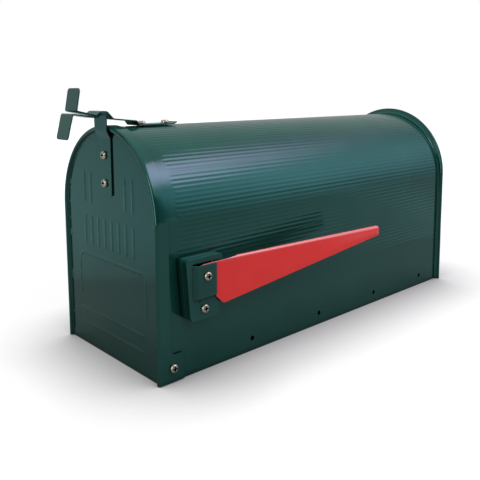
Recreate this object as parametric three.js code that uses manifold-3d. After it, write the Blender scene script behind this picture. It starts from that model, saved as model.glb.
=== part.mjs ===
// Rural tunnel mailbox in painted sheet steel: a ribbed tunnel with a drop-down
// front door, a spring catch on the crown and a signal flag on the right wall.
//
// Millimetres, +Z up. The door faces -Y and the flag is on the +X side.
// Sizes below are laid out from the foot of the side walls (z = 0) and from the
// front of the door (y = 0). The finished group is then moved so that its origin
// is the middle of the floor's underside, where the mounting board is screwed on.

import * as THREE from 'three';
import { mergeVertices } from 'three/addons/utils/BufferGeometryUtils.js';
import Module from 'manifold-3d';

const wasm = await Module();
wasm.setup();

// ---------------------------------------------------------------- sizes

// Sheet thicknesses and gaps
const SHEET = 0.8; // shell, door, floor and rear cap
const STRAP_SHEET = 1.2; // door strap and catch spring
const FLAG_SHEET = 1.0;
const GAP = 0.3; // between pieces that are seated on each other
const OVER = 5; // a solid that cuts or joins another runs this far past it

// Door, which sets the width and height of the whole box
const DOOR_WIDTH = 162;
const DOOR_HEIGHT = 220;
const DOOR_BOTTOM = 0.6; // clearance under the closed door
const BEAD_WIDTH = 5; // raised bead round the door's edge
const BEAD_HEIGHT = 3; // from the door panel to the front of the bead
const BEAD_CHAMFER = 1.6;
const SKIRT_DEPTH = 12.5; // from the front of the bead to the skirt's rear edge
const HEM_HEIGHT = 7; // folded lower edge of the door panel
const EAR_HEIGHT = 25; // hinge ear at the foot of the skirt
const EAR_DEPTH = 26.5;
const EAR_FILLET = 6;
const EAR_CORNER = 3;

// Door hinge
const PIVOT_Y = 15.1;
const PIVOT_Z = 13.1;
const SWING_CLEAR = 1.2; // between the swinging bead and the walls' lower corners

// Shell
const SLIP = 1.1; // door skirt to smooth shell wall
const SHELL_FRONT = 5.2;
const RIB_START = 23.5;
const RIB_PITCH = 4.1;
const RIB_DEPTH = 0.6;
const RIB_LOWEST = 62; // the walls are smooth below this height

// Rear cap
const TOTAL_LENGTH = 453.5; // front of the bead to the back of the cap
const CAP_RIM_DEPTH = 6.9;
const CAP_PROUD = 4.8; // flared rim beyond the smooth shell wall
const CAP_TOP_RISE = 5.3; // flared rim above the door's top
const CAP_FLARE = 3.9; // slope of the rim's front, from the shell out to its edge

// Floor and its mounting holes
const BOARD_RECESS = 22; // foot of the walls to the underside of the floor
const FLOOR_FRONT = 8;
const FLOOR_LIP = 6;
const FLANGE_DROP = 18; // floor flanges against the side walls
const FLANGE_FRONT = 34;
const MOUNT_HOLE = 5;
const MOUNT_HOLE_Z = 12.4;
const MOUNT_HOLE_FIRST = 111; // from the front of the door
const MOUNT_HOLE_LAST = 44; // from the back of the cap
const MOUNT_HOLE_COUNT = 4;

// Machine screws, nuts and washers
const SCREW = 4;
const SCREW_HOLE = 4.8;
const THROUGH = 10; // length of a hole drilled through one sheet
const HEAD = 7.8;
const HEAD_HEIGHT = 2.4;
const HEAD_RIM = 0.9; // straight side of the head
const HEAD_CROWN = 4.6; // across the flat top of the head
const RECESS_SPAN = 4;
const RECESS_WIDTH = 1;
const RECESS_DEPTH = 1.2;
const SCREW_END = 1; // of the screw past its nut
const NUT_ACROSS = 7;
const NUT_HEIGHT = 3;
const WASHER = 9;
const WASHER_HEIGHT = 0.5;

// Door strap, with its heights from the top of the door
const STRAP_WIDTH = 21; // door strap and catch spring
const STRAP_FOOT_DROP = 64;
const STRAP_JOGGLE_DROP = 11; // where the strap steps out over the bead
const STRAP_JOGGLE_HEIGHT = 6;
const STRAP_STANDOFF = 0.8; // strap to the front of the bead
const STRAP_NIB_RISE = 11.2;
const STRAP_NIB_LENGTH = 4.4;
const STRAP_NIB_CORNER = 1;
const STRAP_NIB_SLOPE = 1.1; // run over drop of the nib's front slope
const STRAP_VALLEY_RISE = 7.4; // foot of the nib's front slope
const STRAP_TAB_Y = -33.4;
const STRAP_TAB_RISE = 11.1;
const STRAP_TAB_LENGTH = 22;
const STRAP_TAB_LEAN = 5.6;
const STRAP_SCREW_DROP = { upper: 27, lower: 52.7 };

// Catch spring
const SPRING_REAR = 77;
const SPRING_LIP = 5;
const SPRING_LIP_RISE = 1.6;
const SPRING_STEP_Y = 33;
const SPRING_STEP_HEIGHT = 3.9;
const SPRING_STEP_FLAT = 0.5; // of the arm, behind the step
const SPRING_STEP_RUN = 2.6;
const SPRING_CLEAR = 0.7; // between the strap's nib and the pocket that catches it
const SPRING_RISE = 2.6; // of the sloping arm from the step to the pocket
const SPRING_POCKET_RUN = 5.4; // of the pocket's rear slope
const SPRING_TAB_Y = -29.7;
const SPRING_TAB_RISE = 13.6; // above the top of the door
const SPRING_TAB_HEIGHT = 19.6;
const SPRING_TAB_LEAN = 3.7;
const SPRING_SCREW_FRONT = 42.1;
const SPRING_SCREW_REAR = 68.7;

// Flag bracket, on the right wall
const BRACKET_Y = 41.75; // its middle
const BRACKET_FOOT = 54;
const BRACKET_TOP = 109.5;
const BRACKET_TOP_WIDTH = 40.7;
const BRACKET_FOOT_WIDTH = 32;
const BRACKET_CORNER = 4;
const BRACKET_BASE = 6.3;
const BRACKET_PLATE = 6.4;
const POCKET_DEPTH = 3; // sunk behind the flag
const POCKET_FOOT = 68;
const POCKET_TOP = 104.2;
const HOUSING_RISE = 4.6; // raised housing over the flag's root
const HOUSING_SKIN = 1.5;
const HOUSING_WALL = 0.9;
const HOUSING_FRONT = 31.2;
const HOUSING_REAR = 51.5;
const HOUSING_FOOT = 74.5;
const HOUSING_TOP = 103.4;
const HOUSING_SLOPE = 3.2; // run of its sloping front and lower walls
const FLAG_PIVOT_Y = 40.8;
const FLAG_PIVOT_Z = 93.4;
const LOWER_SCREW_Z = 63.6;

// Flag
const FLAG_ROOT = 9.9; // from the pivot to the root's edges
const FLAG_NECK_ANGLE = Math.PI * 1.7; // where the root's round runs into the heel
const FLAG_BEND = 13; // from the pivot to the bend
const FLAG_LEAN = 0.123; // outward slope of the blade past the bend
const FLAG_HEEL_Y = 11.2; // lower corners of the blade, from the pivot
const FLAG_HEEL_Z = 20.9;
const FLAG_CHIN_Y = 19.6;
const FLAG_CHIN_Z = 29.2;
const FLAG_FLANGE_START = 36;
const FLAG_FLANGE_RISE = 11.4;
const FLAG_LENGTH = 219.3;
const FLAG_TIP_RISE = 13.9;
const FLAG_TIP_HEIGHT = 9.5;
const FLAG_FLANGE = 4.5;

// Smoothness of the round shapes
const ARC_STEPS = 16;
const ROUND_STEPS = 12;

// ---------------------------------------------------------- worked-out sizes

const doorHalf = DOOR_WIDTH / 2;
const archZ = DOOR_HEIGHT - doorHalf; // centre of the arch over door and shell
const shellHalf = doorHalf - SHEET - SLIP; // outer face of the smooth wall
const shellInner = shellHalf - SHEET;
const shellRear = TOTAL_LENGTH - SHEET - GAP;
const crest = shellHalf + RIB_DEPTH / 2;
const crownTop = archZ + crest;
const capFront = TOTAL_LENGTH - CAP_RIM_DEPTH;
const ribEnd = capFront - 1;
const strapFoot = DOOR_HEIGHT - STRAP_FOOT_DROP;
const strapJoggle = DOOR_HEIGHT - STRAP_JOGGLE_DROP;
const nibTop = DOOR_HEIGHT + STRAP_NIB_RISE;
const valleyZ = DOOR_HEIGHT + STRAP_VALLEY_RISE;
const strapTabTop = DOOR_HEIGHT + STRAP_TAB_RISE;
const springTabFoot = DOOR_HEIGHT + SPRING_TAB_RISE;
const strapScrews = Object.entries(STRAP_SCREW_DROP).map(([name, drop]) => [name, DOOR_HEIGHT - drop]);
const panelFront = BEAD_HEIGHT;
const panelRear = panelFront + SHEET;
const floorTop = BOARD_RECESS + SHEET;
const mountHoleLast = TOTAL_LENGTH - MOUNT_HOLE_LAST;
const mountHoleStep = (mountHoleLast - MOUNT_HOLE_FIRST) / (MOUNT_HOLE_COUNT - 1);
const baseSeat = crest + GAP; // bracket base on the rib crests
const plateSeat = baseSeat + BRACKET_BASE + GAP;
const plateFace = plateSeat + BRACKET_PLATE;
const housingFace = plateFace + HOUSING_RISE;

// -------------------------------------------------------------- modelling help

const solidOf = (geometry) => {
  geometry.deleteAttribute('normal');
  geometry.deleteAttribute('uv');
  const merged = mergeVertices(geometry, 1e-5);
  const vertProperties = new Float32Array(merged.attributes.position.array);
  const triVerts = new Uint32Array(merged.index.array);
  return new wasm.Manifold(new wasm.Mesh({ numProp: 3, vertProperties, triVerts }));
};

const geometryOf = (solid) => {
  const { vertProperties, triVerts } = solid.getMesh();
  const geometry = new THREE.BufferGeometry();
  geometry.setAttribute('position', new THREE.BufferAttribute(vertProperties, 3));
  geometry.setIndex(new THREE.BufferAttribute(triVerts, 1));
  geometry.computeVertexNormals();
  return geometry;
};

// An outline in x and z, drawn out along y, with both of its ends chamfered.
const alongY = (shape, from, to, chamfer = 0) => {
  const geometry = new THREE.ExtrudeGeometry(shape, {
    depth: to - from - 2 * chamfer,
    curveSegments: ARC_STEPS,
    bevelEnabled: chamfer > 0,
    bevelSegments: 1,
    bevelSize: chamfer,
    bevelThickness: chamfer,
    bevelOffset: -chamfer,
  });
  geometry.rotateX(Math.PI / 2);
  return solidOf(geometry.translate(0, to - chamfer, 0));
};

const swapAxes = new THREE.Matrix4().makeBasis(
  new THREE.Vector3(0, 1, 0),
  new THREE.Vector3(0, 0, 1),
  new THREE.Vector3(1, 0, 0),
);

// An outline in y and z, drawn out along x. reshape may move its points.
const alongX = (shape, from, to, reshape = (geometry) => geometry) => {
  const geometry = new THREE.ExtrudeGeometry(shape, {
    depth: to - from,
    curveSegments: ROUND_STEPS / 4,
    bevelEnabled: false,
  });
  geometry.applyMatrix4(swapAxes);
  return solidOf(reshape(geometry.translate(from, 0, 0)));
};

const block = (x, y, z) => {
  const geometry = new THREE.BoxGeometry(x[1] - x[0], y[1] - y[0], z[1] - z[0]);
  geometry.translate((x[0] + x[1]) / 2, (y[0] + y[1]) / 2, (z[0] + z[1]) / 2);
  return solidOf(geometry);
};

const drill = (diameter, x, y, z, axis, length) => {
  const geometry = new THREE.CylinderGeometry(diameter / 2, diameter / 2, length, ROUND_STEPS);
  if (axis === 'x') geometry.rotateZ(Math.PI / 2);
  if (axis === 'z') geometry.rotateX(Math.PI / 2);
  return solidOf(geometry.translate(x, y, z));
};

const polygon = (points) => new THREE.Shape(points.map(([a, b]) => new THREE.Vector2(a, b)));

// The tunnel's outline: upright walls under a half-round arch.
const tunnel = (half, foot, centre) => {
  const shape = new THREE.Shape();
  shape.moveTo(-half, foot);
  shape.lineTo(half, foot);
  shape.lineTo(half, centre);
  shape.absarc(0, centre, half, 0, Math.PI, false);
  shape.lineTo(-half, foot);
  return shape;
};

// A strip of sheet of even thickness that follows bent centre-line points.
const bentStrip = (points, thickness) => {
  const centre = points.map(([a, b]) => new THREE.Vector2(a, b));
  const edge = (side) =>
    centre.map((point, i) => {
      const before = centre[Math.max(i - 1, 0)];
      const after = centre[Math.min(i + 1, centre.length - 1)];
      const into = point.clone().sub(i ? before : after).multiplyScalar(i ? 1 : -1).normalize();
      const last = i === centre.length - 1;
      const out = last ? into.clone() : after.clone().sub(point).normalize();
      const normal = new THREE.Vector2(-into.y - out.y, into.x + out.x).normalize();
      const reach = thickness / 2 / normal.dot(new THREE.Vector2(-out.y, out.x));
      return point.clone().addScaledVector(normal, side * reach);
    });
  return new THREE.Shape([...edge(1), ...edge(-1).reverse()]);
};

const paint = { roughness: 0.3, metalness: 0.0 };
const materials = {
  green: { color: 0x1f4a42, ...paint },
  red: { color: 0xc9332f, ...paint },
  zinc: { color: 0xc8c6bc, roughness: 0.28, metalness: 1.0 },
};

const piece = (name, solid, look) => {
  const material = new THREE.MeshStandardMaterial(materials[look]);
  const mesh = new THREE.Mesh(geometryOf(solid), material);
  mesh.name = name;
  return mesh;
};

const bothSides = [
  ['left', -1],
  ['right', 1],
];

// ------------------------------------------------------------------- fasteners

// Each fastener is modelled on the z axis, seated at z = 0, and then turned so
// that its z axis points the way its head or its outer face looks.
const facing = {
  left: [0, -Math.PI / 2, 0],
  right: [0, Math.PI / 2, 0],
  front: [Math.PI / 2, 0, 0],
  back: [-Math.PI / 2, 0, 0],
  up: [0, 0, 0],
  down: [Math.PI, 0, 0],
};

const seat = (mesh, x, y, z, way) => {
  mesh.position.set(x, y, z);
  mesh.rotation.set(...facing[way]);
  return mesh;
};

const turned = (outline) => {
  const geometry = new THREE.LatheGeometry(
    outline.map(([radius, height]) => new THREE.Vector2(radius, height)),
    ROUND_STEPS,
  );
  return solidOf(geometry.rotateX(Math.PI / 2));
};

const panHeadScrew = (name, length) => {
  const body = turned([
    [0, -length],
    [SCREW / 2, -length],
    [SCREW / 2, 0],
    [HEAD / 2, 0],
    [HEAD / 2, HEAD_RIM],
    [HEAD_CROWN / 2, HEAD_HEIGHT],
    [0, HEAD_HEIGHT],
  ]);
  const span = [-RECESS_SPAN / 2, RECESS_SPAN / 2];
  const width = [-RECESS_WIDTH / 2, RECESS_WIDTH / 2];
  const depth = [HEAD_HEIGHT - RECESS_DEPTH, HEAD_HEIGHT + OVER];
  const cross = block(span, width, depth).add(block(width, span, depth));
  return piece(name, body.subtract(cross), 'zinc');
};

const washer = (name) => {
  const shape = new THREE.Shape();
  shape.absarc(0, 0, WASHER / 2, 0, Math.PI * 2, false);
  shape.holes.push(new THREE.Path().absarc(0, 0, SCREW_HOLE / 2, 0, Math.PI * 2, true));
  const options = { depth: WASHER_HEIGHT, curveSegments: ROUND_STEPS / 2, bevelEnabled: false };
  return piece(name, solidOf(new THREE.ExtrudeGeometry(shape, options)), 'zinc');
};

const hexNut = (name) => {
  const corner = NUT_ACROSS / 2 / Math.cos(Math.PI / 6);
  const corners = Array.from({ length: 6 }, (_, i) => {
    const angle = (i * Math.PI) / 3;
    return [corner * Math.cos(angle), corner * Math.sin(angle)];
  });
  const shape = polygon(corners);
  shape.holes.push(new THREE.Path().absarc(0, 0, SCREW / 2 + GAP, 0, Math.PI * 2, true));
  const options = { depth: NUT_HEIGHT, curveSegments: ROUND_STEPS / 2, bevelEnabled: false };
  return piece(name, solidOf(new THREE.ExtrudeGeometry(shape, options)), 'zinc');
};

// ----------------------------------------------------------------------- shell

// A point of the tunnel's skin, at a distance from the crown along the skin and
// pushed out by offset.
const skinPoint = (distance, offset) => {
  const arch = (shellHalf * Math.PI) / 2;
  const side = Math.sign(distance) || 1;
  const past = Math.abs(distance) - arch;
  if (past > 0) return [side * (shellHalf + offset), archZ - past];
  const angle = distance / shellHalf;
  const radius = shellHalf + offset;
  return [radius * Math.sin(angle), archZ + radius * Math.cos(angle)];
};

const ribbedTunnel = () => {
  const foot = (shellHalf * Math.PI) / 2 + archZ;
  const ribbed = foot - RIB_LOWEST;
  const halfRibs = Math.floor(ribbed / (RIB_PITCH / 2));
  const skin = (inward) => {
    const points = [skinPoint(-foot, -inward)];
    for (let i = -halfRibs; i <= halfRibs; i += 1) {
      const wave = i % 2 ? -RIB_DEPTH / 2 : RIB_DEPTH / 2;
      points.push(skinPoint((i * RIB_PITCH) / 2, wave - inward));
    }
    points.push(skinPoint(foot, -inward));
    return points;
  };
  return polygon([...skin(0), ...skin(SHEET).reverse()]);
};

const smoothTunnel = () => {
  const outer = tunnel(shellHalf, 0, archZ).getPoints(ARC_STEPS);
  const inner = tunnel(shellInner, -OVER, archZ).getPoints(ARC_STEPS);
  return [new THREE.Shape(outer), new THREE.Shape(inner)];
};

const smoothBand = (from, to) => {
  const [outer, inner] = smoothTunnel();
  return alongY(outer, from, to).subtract(alongY(inner, from - OVER, to + OVER));
};

// The walls' front lower corners are cut off at a slope that ends under the hinge,
// so that they stay clear of the back of the door's bead as it swings under them.
const hingeRelief = () => {
  const swing = PIVOT_Y - SHEET - SWING_CLEAR;
  const corner = PIVOT_Z - Math.sqrt(swing ** 2 - (PIVOT_Y - SHELL_FRONT) ** 2);
  const slope = corner / (PIVOT_Y - SHELL_FRONT);
  const shape = polygon([
    [SHELL_FRONT - OVER, -OVER],
    [PIVOT_Y + OVER / slope, -OVER],
    [SHELL_FRONT - OVER, corner + OVER * slope],
  ]);
  return alongX(shape, -doorHalf, doorHalf);
};

const mountHoles = () => {
  const holes = Array.from({ length: MOUNT_HOLE_COUNT }, (_, i) => {
    const y = MOUNT_HOLE_FIRST + i * mountHoleStep;
    return drill(MOUNT_HOLE, 0, y, MOUNT_HOLE_Z, 'x', DOOR_WIDTH);
  });
  return holes.reduce((all, hole) => all.add(hole));
};

const shell = () => {
  const overlap = GAP;
  let body = alongY(ribbedTunnel(), RIB_START, ribEnd);
  body = body.add(smoothBand(SHELL_FRONT, RIB_START + overlap));
  body = body.add(smoothBand(ribEnd - overlap, shellRear));
  body = body.subtract(hingeRelief()).subtract(mountHoles());
  body = body.subtract(drill(SCREW_HOLE, 0, PIVOT_Y, PIVOT_Z, 'x', DOOR_WIDTH));
  for (const y of [SPRING_SCREW_FRONT, SPRING_SCREW_REAR]) {
    body = body.subtract(drill(SCREW_HOLE, 0, y, crownTop, 'z', THROUGH));
  }
  for (const z of [FLAG_PIVOT_Z, LOWER_SCREW_Z]) {
    body = body.subtract(drill(SCREW_HOLE, shellHalf, FLAG_PIVOT_Y, z, 'x', THROUGH));
  }
  return piece('shell', body, 'green');
};

// -------------------------------------------------------------- floor and cap

const floorPanel = () => {
  const half = shellInner - GAP;
  const width = [-half, half];
  const lip = [FLOOR_FRONT, FLOOR_FRONT + SHEET];
  let panel = block(width, [FLOOR_FRONT, shellRear], [BOARD_RECESS, floorTop]);
  panel = panel.add(block(width, lip, [floorTop - FLOOR_LIP, floorTop]));
  for (const [, side] of bothSides) {
    const wall = [half * side, (half - SHEET) * side].sort((a, b) => a - b);
    panel = panel.add(block(wall, [FLANGE_FRONT, shellRear], [floorTop - FLANGE_DROP, floorTop]));
  }
  return piece('floor_panel', panel.subtract(mountHoles()), 'green');
};

// The cap wraps the shell's end: a flat back and a rim whose front slopes down to
// the ribs. The slope also comes out behind, and is cut off level with the back.
const rearCap = () => {
  const half = shellHalf + CAP_PROUD;
  const centre = DOOR_HEIGHT + CAP_TOP_RISE - half;
  const past = TOTAL_LENGTH + CAP_FLARE;
  const backInside = TOTAL_LENGTH - SHEET;
  const wide = [-DOOR_WIDTH, DOOR_WIDTH];
  const room = alongY(tunnel(half - SHEET, -2 * OVER, centre), capFront + SHEET, past, CAP_FLARE);
  const behind = block(wide, [backInside, past + OVER], [-3 * OVER, DOOR_HEIGHT + 2 * OVER]);
  let cap = alongY(tunnel(half, -OVER, centre), capFront, past, CAP_FLARE);
  cap = cap.subtract(room.subtract(behind));
  cap = cap.subtract(alongY(tunnel(crest + GAP, -2 * OVER, archZ), capFront - OVER, backInside));
  cap = cap.subtract(behind.translate(0, SHEET, 0));
  const below = block(wide, [capFront - OVER, past + OVER], [-3 * OVER, 0]);
  return piece('rear_cap', cap.subtract(below), 'green');
};

// ------------------------------------------------------------------------ door

const hingeEars = () => {
  const shape = new THREE.Shape();
  shape.moveTo(SKIRT_DEPTH - SHEET, DOOR_BOTTOM);
  shape.lineTo(EAR_DEPTH, DOOR_BOTTOM);
  shape.lineTo(EAR_DEPTH, EAR_HEIGHT - EAR_CORNER);
  shape.absarc(EAR_DEPTH - EAR_CORNER, EAR_HEIGHT - EAR_CORNER, EAR_CORNER, 0, Math.PI / 2, false);
  shape.lineTo(SKIRT_DEPTH + EAR_FILLET, EAR_HEIGHT);
  shape.absarc(
    SKIRT_DEPTH + EAR_FILLET,
    EAR_HEIGHT + EAR_FILLET,
    EAR_FILLET,
    Math.PI * 1.5,
    Math.PI,
    true,
  );
  shape.lineTo(SKIRT_DEPTH - SHEET, EAR_HEIGHT + EAR_FILLET);
  const ears = bothSides.map(([, side]) => {
    const faces = [doorHalf * side, (doorHalf - SHEET) * side].sort((a, b) => a - b);
    return alongX(shape, ...faces);
  });
  return ears[0].add(ears[1]);
};

const door = () => {
  const past = SKIRT_DEPTH + OVER;
  const recess = doorHalf - BEAD_WIDTH;
  const wide = [-DOOR_WIDTH, DOOR_WIDTH];
  const innerChamfer = BEAD_CHAMFER - SHEET / 4;
  const outer = alongY(tunnel(doorHalf, -OVER, archZ), 0, past, BEAD_CHAMFER);
  const front = alongY(tunnel(recess, -2 * OVER, archZ), -OVER, panelFront);
  const back = alongY(tunnel(doorHalf - SHEET, -2 * OVER, archZ), SHEET, past + OVER, innerChamfer);
  const panel = alongY(tunnel(recess + SHEET, -3 * OVER, archZ), -OVER, panelRear);
  let body = outer.subtract(front).subtract(back.subtract(panel));
  body = body.subtract(block(wide, [SKIRT_DEPTH, past + OVER], [-2 * OVER, DOOR_HEIGHT + OVER]));
  body = body.add(hingeEars());
  body = body.subtract(block(wide, [-OVER, EAR_DEPTH + OVER], [-2 * OVER, DOOR_BOTTOM]));
  const hemDepth = [panelRear - SHEET / 2, panelRear + SHEET];
  body = body.add(block([-recess, recess], hemDepth, [DOOR_BOTTOM, DOOR_BOTTOM + HEM_HEIGHT]));
  body = body.subtract(drill(SCREW_HOLE, 0, PIVOT_Y, PIVOT_Z, 'x', DOOR_WIDTH + THROUGH));
  for (const [, z] of strapScrews) {
    body = body.subtract(drill(SCREW_HOLE, 0, panelRear, z, 'y', THROUGH));
  }
  return piece('door', body, 'green');
};

// ---------------------------------------------------------- strap and catch

const strapCentre = panelFront - GAP - STRAP_SHEET / 2; // on the door panel
const strapOut = -STRAP_STANDOFF - STRAP_SHEET / 2; // in front of the bead
const nibFront = strapOut - STRAP_NIB_LENGTH;
const valleyY = nibFront - (nibTop - valleyZ) * STRAP_NIB_SLOPE;

const doorStrap = () => {
  const top = nibTop - STRAP_SHEET / 2;
  const shape = bentStrip(
    [
      [strapCentre, strapFoot],
      [strapCentre, strapJoggle],
      [strapOut, strapJoggle + STRAP_JOGGLE_HEIGHT],
      [strapOut, top - STRAP_NIB_CORNER],
      [strapOut - STRAP_NIB_CORNER, top],
      [nibFront, top],
      [valleyY, valleyZ],
      [STRAP_TAB_Y, strapTabTop],
      [STRAP_TAB_Y - STRAP_TAB_LEAN, strapTabTop - STRAP_TAB_LENGTH],
    ],
    STRAP_SHEET,
  );
  let strap = alongX(shape, -STRAP_WIDTH / 2, STRAP_WIDTH / 2);
  for (const [, z] of strapScrews) {
    strap = strap.subtract(drill(SCREW_HOLE, 0, strapCentre, z, 'y', THROUGH));
  }
  return piece('door_strap', strap, 'green');
};

// The catch is one leaf spring. It is divided at the rear of its step, where it
// flexes: the foot stays on the crown and the arm lifts.
const catchFlat = crownTop + GAP + STRAP_SHEET / 2; // middle of the foot's sheet
const armEnd = SPRING_STEP_Y - GAP / 2;

const catchFoot = () => {
  const shape = bentStrip(
    [
      [SPRING_REAR, catchFlat + SPRING_LIP_RISE],
      [SPRING_REAR - SPRING_LIP, catchFlat],
      [armEnd + GAP, catchFlat],
    ],
    STRAP_SHEET,
  );
  let foot = alongX(shape, -STRAP_WIDTH / 2, STRAP_WIDTH / 2);
  for (const y of [SPRING_SCREW_FRONT, SPRING_SCREW_REAR]) {
    foot = foot.subtract(drill(SCREW_HOLE, 0, y, catchFlat, 'z', THROUGH));
  }
  return piece('catch_foot', foot, 'green');
};

const catchArm = () => {
  const raised = catchFlat + SPRING_STEP_HEIGHT;
  const offset = STRAP_SHEET + SPRING_CLEAR;
  const roof = nibTop - STRAP_SHEET / 2 + offset;
  const pocketRear = strapOut + offset + SPRING_POCKET_RUN;
  const shape = bentStrip(
    [
      [armEnd, catchFlat],
      [armEnd - SPRING_STEP_FLAT, catchFlat],
      [SPRING_STEP_Y - SPRING_STEP_RUN, raised],
      [pocketRear, raised + SPRING_RISE],
      [strapOut + offset / 2, roof],
      [nibFront - offset / 2, roof],
      [valleyY - offset / 3, valleyZ + offset],
      [SPRING_TAB_Y, springTabFoot],
      [SPRING_TAB_Y + SPRING_TAB_LEAN, springTabFoot + SPRING_TAB_HEIGHT],
    ],
    STRAP_SHEET,
  );
  return piece('catch_arm', alongX(shape, -STRAP_WIDTH / 2, STRAP_WIDTH / 2), 'green');
};

// ---------------------------------------------------------------- flag bracket

const bracketOutline = () => {
  const shape = new THREE.Shape();
  const top = BRACKET_TOP_WIDTH / 2;
  const foot = BRACKET_FOOT_WIDTH / 2;
  const r = BRACKET_CORNER;
  shape.moveTo(BRACKET_Y - foot + r, BRACKET_FOOT);
  shape.lineTo(BRACKET_Y + foot - r, BRACKET_FOOT);
  shape.quadraticCurveTo(BRACKET_Y + foot, BRACKET_FOOT, BRACKET_Y + foot, BRACKET_FOOT + r);
  shape.lineTo(BRACKET_Y + top, BRACKET_TOP - r);
  shape.quadraticCurveTo(BRACKET_Y + top, BRACKET_TOP, BRACKET_Y + top - r, BRACKET_TOP);
  shape.lineTo(BRACKET_Y - top + r, BRACKET_TOP);
  shape.quadraticCurveTo(BRACKET_Y - top, BRACKET_TOP, BRACKET_Y - top, BRACKET_TOP - r);
  shape.lineTo(BRACKET_Y - foot, BRACKET_FOOT + r);
  shape.quadraticCurveTo(BRACKET_Y - foot, BRACKET_FOOT, BRACKET_Y - foot + r, BRACKET_FOOT);
  return shape;
};

const bracketHoles = () => {
  const span = 2 * (BRACKET_BASE + BRACKET_PLATE + HOUSING_RISE) + THROUGH;
  const high = drill(SCREW_HOLE, plateSeat, FLAG_PIVOT_Y, FLAG_PIVOT_Z, 'x', span);
  return high.add(drill(SCREW_HOLE, plateSeat, FLAG_PIVOT_Y, LOWER_SCREW_Z, 'x', span));
};

const bracketBase = () => {
  const base = alongX(bracketOutline(), baseSeat, baseSeat + BRACKET_BASE);
  return piece('flag_bracket_base', base.subtract(bracketHoles()), 'green');
};

// The raised housing has sloping front and lower walls: each slice of its outline
// shrinks towards its face by the same run. An inset makes the room inside it,
// which is open to the rear and at the top.
const housingSolid = (inset, from, to) => {
  const slope = (geometry) => {
    const point = geometry.attributes.position;
    for (let i = 0; i < point.count; i += 1) {
      const climb = ((point.getX(i) - plateFace) / HOUSING_RISE) * HOUSING_SLOPE;
      const front = point.getY(i) < BRACKET_Y ? climb : 0;
      const lower = point.getZ(i) < FLAG_PIVOT_Z - SCREW ? climb : 0;
      point.setXYZ(i, point.getX(i), point.getY(i) + front, point.getZ(i) + lower);
    }
    return geometry;
  };
  const front = HOUSING_FRONT - HOUSING_SLOPE + inset;
  const foot = HOUSING_FOOT - HOUSING_SLOPE + inset;
  const open = inset ? BRACKET_TOP_WIDTH : 0;
  const rear = HOUSING_REAR + open;
  const top = HOUSING_TOP + open;
  const outline = polygon([
    [front, foot],
    [rear, foot],
    [rear, top],
    [front, top],
  ]);
  return alongX(outline, from, to, slope);
};

const bracketPlate = () => {
  let plate = alongX(bracketOutline(), plateSeat, plateFace);
  plate = plate.add(housingSolid(0, plateFace - GAP, housingFace));
  const roomTop = housingFace - HOUSING_SKIN;
  plate = plate.subtract(housingSolid(HOUSING_WALL, plateFace, roomTop));
  const pocket = polygon([
    [HOUSING_FRONT - HOUSING_SLOPE + HOUSING_WALL, POCKET_FOOT],
    [BRACKET_Y + BRACKET_TOP_WIDTH, POCKET_FOOT],
    [BRACKET_Y + BRACKET_TOP_WIDTH, POCKET_TOP],
    [HOUSING_FRONT - HOUSING_SLOPE + HOUSING_WALL, POCKET_TOP],
  ]);
  const sunk = alongX(pocket, plateFace - POCKET_DEPTH, plateFace + GAP);
  const boss = drill(WASHER, plateFace - POCKET_DEPTH / 2, FLAG_PIVOT_Y, FLAG_PIVOT_Z, 'x', POCKET_DEPTH);
  plate = plate.subtract(sunk).add(boss);
  return piece('flag_bracket_plate', plate.subtract(bracketHoles()), 'green');
};

// ------------------------------------------------------------------------ flag

const flagBack = plateFace + WASHER_HEIGHT + 2 * GAP;
const flagFace = flagBack + FLAG_SHEET;

const leanOut = (geometry) => {
  const point = geometry.attributes.position;
  for (let i = 0; i < point.count; i += 1) {
    const past = Math.max(point.getY(i) - FLAG_PIVOT_Y - FLAG_BEND, 0);
    point.setX(i, point.getX(i) + past * FLAG_LEAN);
  }
  return geometry;
};

const flagPoint = (y, z) => [FLAG_PIVOT_Y + y, FLAG_PIVOT_Z + z];

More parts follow.
